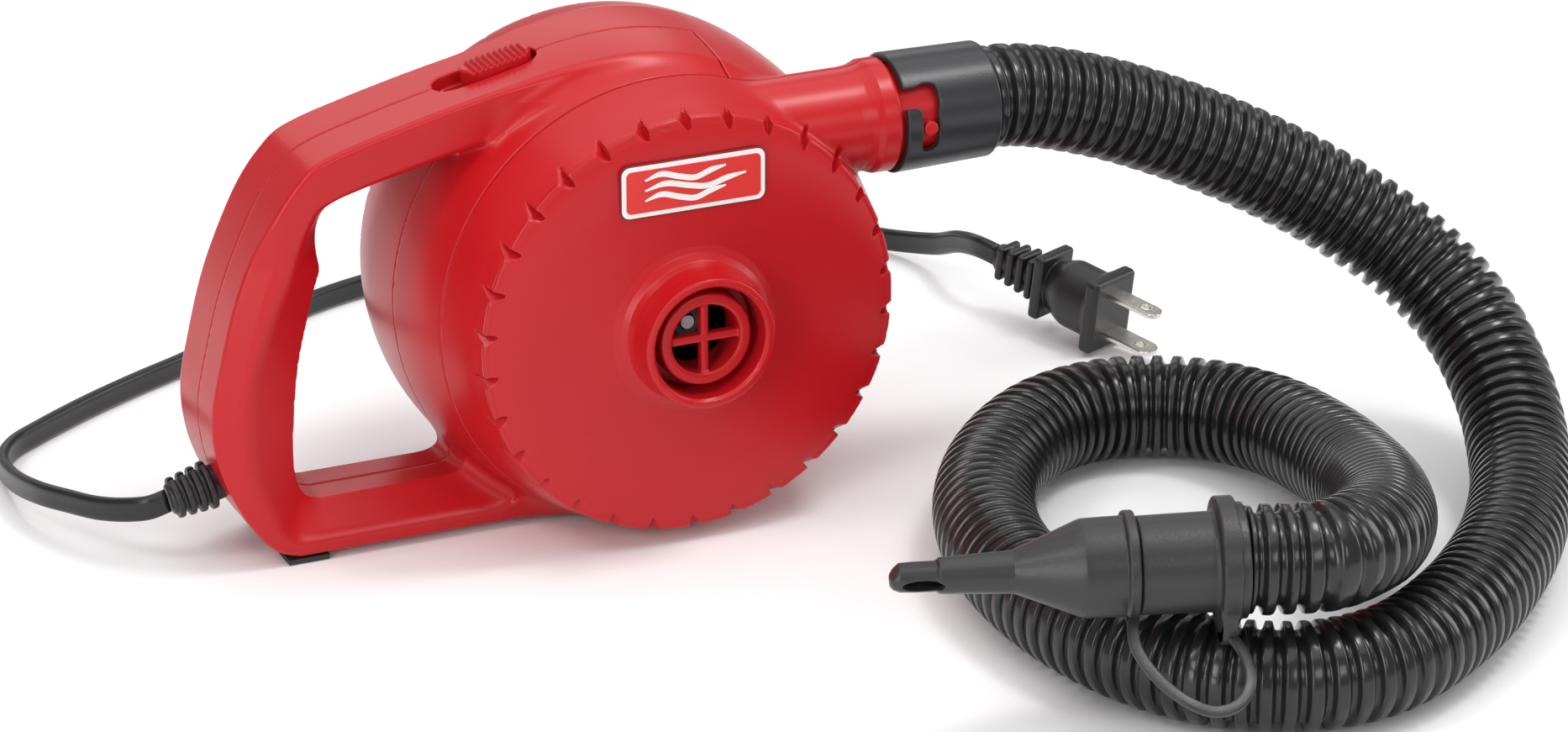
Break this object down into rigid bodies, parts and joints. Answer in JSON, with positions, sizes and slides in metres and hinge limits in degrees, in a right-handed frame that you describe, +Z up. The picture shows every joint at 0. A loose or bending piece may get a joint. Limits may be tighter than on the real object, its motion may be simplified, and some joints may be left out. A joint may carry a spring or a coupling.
{
  "type": "electric air mattress pump",
  "caption": "Mains air pump with a round fan housing, loop handle, slide switch, side outlet with a bayonet hose sleeve, ribbed hose, stepped nozzle and power cord.",
  "frame": {"origin": "centre of the underside, on the plane that the feet rest on", "axes": "+Z up, +X from the handle towards the outlet, -Y towards the front cover with the deflate port; the fan turns about an axis along Y"},
  "size_m": [0.4191, 0.4155, 0.1387],
  "materials": {
    "red_plastic": "satin gloss",
    "dark_plastic": "satin",
    "hose_black": "gloss",
    "cord_black": "satin",
    "nozzle_grey": "satin",
    "blade_metal": "nickel plated",
    "steel": "zinc plated",
    "copper": "enamelled wire",
    "bronze": "plain",
    "carbon": "matte",
    "magnet": "matte",
    "white_nylon": "matte",
    "board_green": "satin",
    "badge": "gloss"
  },
  "bodies": {
    "housing": {"front_housing": "red_plastic", "rear_housing": "red_plastic", "front_cover": "red_plastic", "inlet_grille": "red_plastic", "rear_cover": "red_plastic", "vent_screw_1": "steel", "vent_screw_2": "steel", "vent_screw_3": "steel", "housing_screw_1": "steel", "housing_screw_2": "steel", "housing_screw_3": "steel", "foot_1": "dark_plastic", "foot_2": "dark_plastic", "foot_3": "dark_plastic", "foot_4": "dark_plastic", "badge": "badge", "fan_plate": "dark_plastic", "motor_can": "steel", "motor_end_cap": "dark_plastic", "front_bush": "bronze", "rear_bush": "bronze", "magnet_upper": "magnet", "magnet_lower": "magnet", "motor_screw_1": "steel", "motor_screw_2": "steel", "brush_left": "carbon", "brush_right": "carbon", "brush_holder_left": "bronze", "brush_holder_right": "bronze", "brush_spring_left": "steel", "brush_spring_right": "steel", "rectifier_board": "board_green", "switch_body": "dark_plastic", "wire_live": "carbon", "wire_neutral": "white_nylon", "wire_switched": "carbon", "wire_motor_plus": "badge", "wire_motor_minus": "carbon", "strain_relief": "cord_black", "power_cord": "cord_black", "plug_body": "cord_black", "blade_live": "blade_metal", "blade_neutral": "blade_metal", "air_hose": "hose_black", "hose_cuff": "nozzle_grey", "tether_strap": "nozzle_grey"},
    "rotor": {"motor_shaft": "steel", "armature_core": "steel", "winding_front": "copper", "winding_rear": "copper", "commutator": "copper", "impeller": "dark_plastic", "impeller_nut": "steel", "cooling_fan": "dark_plastic"},
    "switch": {"switch_button": "red_plastic", "switch_slider": "white_nylon"},
    "connector": {"hose_connector": "dark_plastic"},
    "nozzle": {"nozzle": "nozzle_grey"}
  },
  "joints": [
    {"name": "rotor_spin", "type": "hinge", "parent": "housing", "child": "rotor", "pos_m": [0.0165, 0.007, 0.0665], "axis": [0, 1, 0], "continuous": true},
    {"name": "switch_slide", "type": "slide", "parent": "housing", "child": "switch", "axis": [-0.9785, 0, -0.2062], "range_m": [0, 0.008]},
    {"name": "connector_twist", "type": "hinge", "parent": "housing", "child": "connector", "pos_m": [0.1, -0.021, 0.1131], "axis": [1, 0, 0], "range_deg": [-8, 33]},
    {"name": "nozzle_pull", "type": "slide", "parent": "housing", "child": "nozzle", "axis": [-0.9491, 0.3146, -0.0139], "range_m": [0, 0.014], "deforming": ["tether_strap"]}
  ]
}
